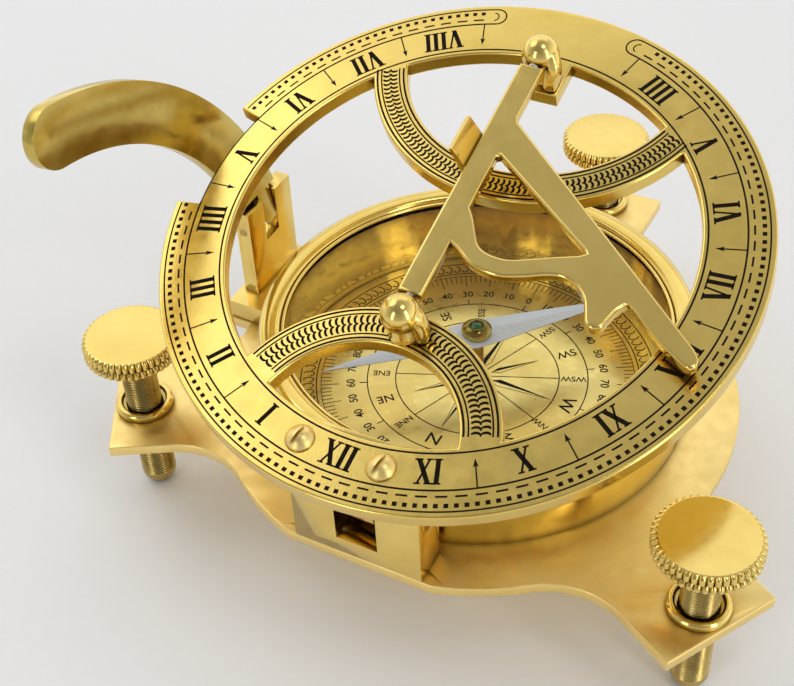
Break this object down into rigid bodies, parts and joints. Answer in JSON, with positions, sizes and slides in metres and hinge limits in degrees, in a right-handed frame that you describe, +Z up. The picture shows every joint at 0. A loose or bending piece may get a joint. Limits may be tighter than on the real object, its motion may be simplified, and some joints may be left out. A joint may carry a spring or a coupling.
{
  "type": "garden sundial",
  "caption": "Brass sundial compass: hinged roman hour ring with folding gnomon, latitude arm and compass case on a levelling base.",
  "frame": {"origin": "centre of the compass case, on the plane that the three levelling screws stand on", "axes": "+Z up, -Y to the ring's hinge and noon mark, +X to the morning hours, -X to the latitude arm"},
  "size_m": [0.146, 0.1439, 0.0986],
  "materials": {
    "brass": "polished cast brass",
    "plate_brass": "bright polished sheet brass",
    "ring_brass": "polished brass with black filled engraving",
    "card_brass": "mirror polished brass with black filled engraving",
    "case_brass": "mirror polished turned brass",
    "dark_brass": "turned brass, toned by use",
    "glass": "clear polished glass",
    "needle_steel": "pale grey-blue satin steel",
    "jewel": "polished green stone",
    "steel_pin": "ground steel",
    "black_fill": "black wax in the engraving"
  },
  "bodies": {
    "base": {"base_plate": "plate_brass", "screw_collars": "brass", "case_body": "case_brass", "case_screws": "dark_brass", "bezel_ring": "case_brass", "compass_glass": "glass", "glass_retaining_ring": "brass", "compass_card": "card_brass", "pivot_post": "dark_brass", "hinge_block": "brass", "hinge_block_screws": "dark_brass", "hinge_pin": "dark_brass", "arm_bracket": "brass", "arm_bracket_screws": "dark_brass", "arm_pin": "dark_brass"},
    "needle": {"compass_needle": "needle_steel", "needle_cap": "brass", "needle_jewel": "jewel"},
    "screw_left": {"levelling_shank_left": "dark_brass"},
    "screw_right": {"levelling_shank_right": "dark_brass"},
    "screw_rear": {"levelling_shank_rear": "dark_brass"},
    "knob_left": {"levelling_knob_left": "brass"},
    "knob_right": {"levelling_knob_right": "brass"},
    "knob_rear": {"levelling_knob_rear": "brass"},
    "ring": {"ring_hinge_leaf": "brass", "ring_screws": "brass", "hour_ring": "ring_brass", "upper_gnomon_lug": "brass", "lower_gnomon_lug": "brass"},
    "gnomon": {"gnomon": "brass", "gnomon_pivots": "steel_pin"},
    "arm": {"latitude_arm": "brass"}
  },
  "joints": [
    {"name": "ring_tilt", "type": "hinge", "parent": "base", "child": "ring", "pos_m": [0, -0.0487, 0.035], "axis": [1, 0, 0], "range_deg": [-17.6, 72.4]},
    {"name": "gnomon_fold", "type": "hinge", "parent": "ring", "child": "gnomon", "pos_m": [0, -0.00964, 0.07325], "axis": [0, -0.9532, -0.3024], "range_deg": [0, 92.5]},
    {"name": "arm_swing", "type": "hinge", "parent": "base", "child": "arm", "pos_m": [-0.0565, 0.0097, 0.0435], "axis": [0, 1, 0], "range_deg": [-80, 10.5]},
    {"name": "needle_turn", "type": "hinge", "parent": "base", "child": "needle", "pos_m": [0, 0, 0.0364], "axis": [0, 0, 1], "continuous": true},
    {"name": "screw_left_travel", "type": "slide", "parent": "base", "child": "screw_left", "axis": [0, 0, -1], "range_m": [-0.0035, 0.0035]},
    {"name": "knob_left_turn", "type": "hinge", "parent": "screw_left", "child": "knob_left", "pos_m": [-0.06105, -0.03525, 0.04], "axis": [0, 0, -1], "range_deg": [-1800, 1800]},
    {"name": "screw_right_travel", "type": "slide", "parent": "base", "child": "screw_right", "axis": [0, 0, -1], "range_m": [-0.0035, 0.0035]},
    {"name": "knob_right_turn", "type": "hinge", "parent": "screw_right", "child": "knob_right", "pos_m": [0.06105, -0.03525, 0.04], "axis": [0, 0, -1], "range_deg": [-1800, 1800]},
    {"name": "screw_rear_travel", "type": "slide", "parent": "base", "child": "screw_rear", "axis": [0, 0, -1], "range_m": [-0.0035, 0.0035]},
    {"name": "knob_rear_turn", "type": "hinge", "parent": "screw_rear", "child": "knob_rear", "pos_m": [0, 0.0705, 0.04], "axis": [0, 0, -1], "range_deg": [-1800, 1800]}
  ],
  "couplings": [
    {"joint": "knob_left_turn", "follows": "screw_left_travel", "rad_per_m": 8976},
    {"joint": "knob_right_turn", "follows": "screw_right_travel", "rad_per_m": 8976},
    {"joint": "knob_rear_turn", "follows": "screw_rear_travel", "rad_per_m": 8976}
  ]
}
